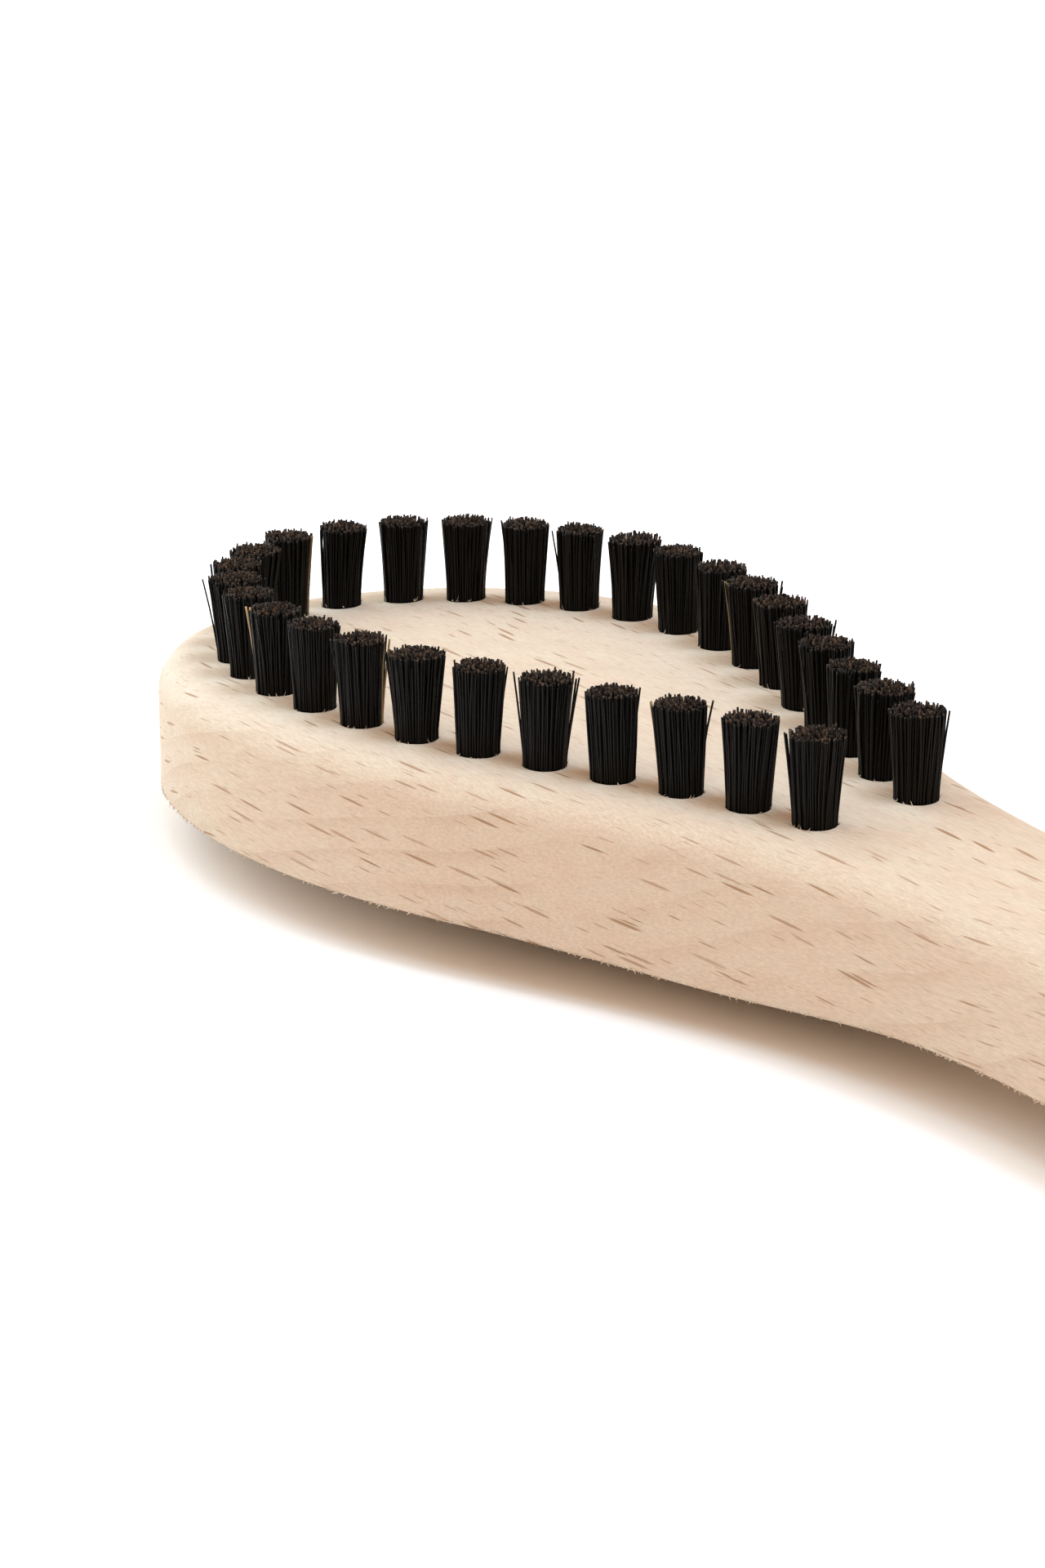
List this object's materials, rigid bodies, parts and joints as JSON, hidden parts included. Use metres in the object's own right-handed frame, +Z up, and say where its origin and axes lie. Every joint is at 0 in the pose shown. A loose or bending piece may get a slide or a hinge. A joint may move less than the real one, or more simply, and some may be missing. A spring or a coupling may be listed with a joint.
{
  "type": "clothes brush",
  "caption": "Pale beech clothes brush lying on its back: broad egg-shaped head that narrows into a handle, with a ring of short black bristle tufts.",
  "frame": {"origin": "centre of the brush's box on the flat land of the back that it lies on", "axes": "+X from the tip of the head to the end of the handle, +Y to the left side, +Z up out of the bristle face"},
  "size_m": [0.25, 0.067, 0.031],
  "materials": {
    "beech": "sanded, unvarnished pale beech with dark flecks along the grain",
    "bristle": "black natural bristle, cut ends brown",
    "anchor_wire": "drawn flat wire"
  },
  "bodies": {
    "root": {"beech_body": "beech", "tuft_left_01": "bristle", "tuft_left_02": "bristle", "tuft_left_03": "bristle", "tuft_left_04": "bristle", "tuft_left_05": "bristle", "tuft_left_06": "bristle", "tuft_left_07": "bristle", "tuft_left_08": "bristle", "tuft_left_09": "bristle", "tuft_left_10": "bristle", "tuft_left_11": "bristle", "tuft_left_12": "bristle", "tuft_left_13": "bristle", "tuft_left_14": "bristle", "tuft_left_15": "bristle", "tuft_right_01": "bristle", "tuft_right_02": "bristle", "tuft_right_03": "bristle", "tuft_right_04": "bristle", "tuft_right_05": "bristle", "tuft_right_06": "bristle", "tuft_right_07": "bristle", "tuft_right_08": "bristle", "tuft_right_09": "bristle", "tuft_right_10": "bristle", "tuft_right_11": "bristle", "tuft_right_12": "bristle", "tuft_right_13": "bristle", "tuft_right_14": "bristle", "tuft_right_15": "bristle", "anchor_left_01": "anchor_wire", "anchor_left_02": "anchor_wire", "anchor_left_03": "anchor_wire", "anchor_left_04": "anchor_wire", "anchor_left_05": "anchor_wire", "anchor_left_06": "anchor_wire", "anchor_left_07": "anchor_wire", "anchor_left_08": "anchor_wire", "anchor_left_09": "anchor_wire", "anchor_left_10": "anchor_wire", "anchor_left_11": "anchor_wire", "anchor_left_12": "anchor_wire", "anchor_left_13": "anchor_wire", "anchor_left_14": "anchor_wire", "anchor_left_15": "anchor_wire", "anchor_right_01": "anchor_wire", "anchor_right_02": "anchor_wire", "anchor_right_03": "anchor_wire", "anchor_right_04": "anchor_wire", "anchor_right_05": "anchor_wire", "anchor_right_06": "anchor_wire", "anchor_right_07": "anchor_wire", "anchor_right_08": "anchor_wire", "anchor_right_09": "anchor_wire", "anchor_right_10": "anchor_wire", "anchor_right_11": "anchor_wire", "anchor_right_12": "anchor_wire", "anchor_right_13": "anchor_wire", "anchor_right_14": "anchor_wire"}
  },
  "joints": []
}
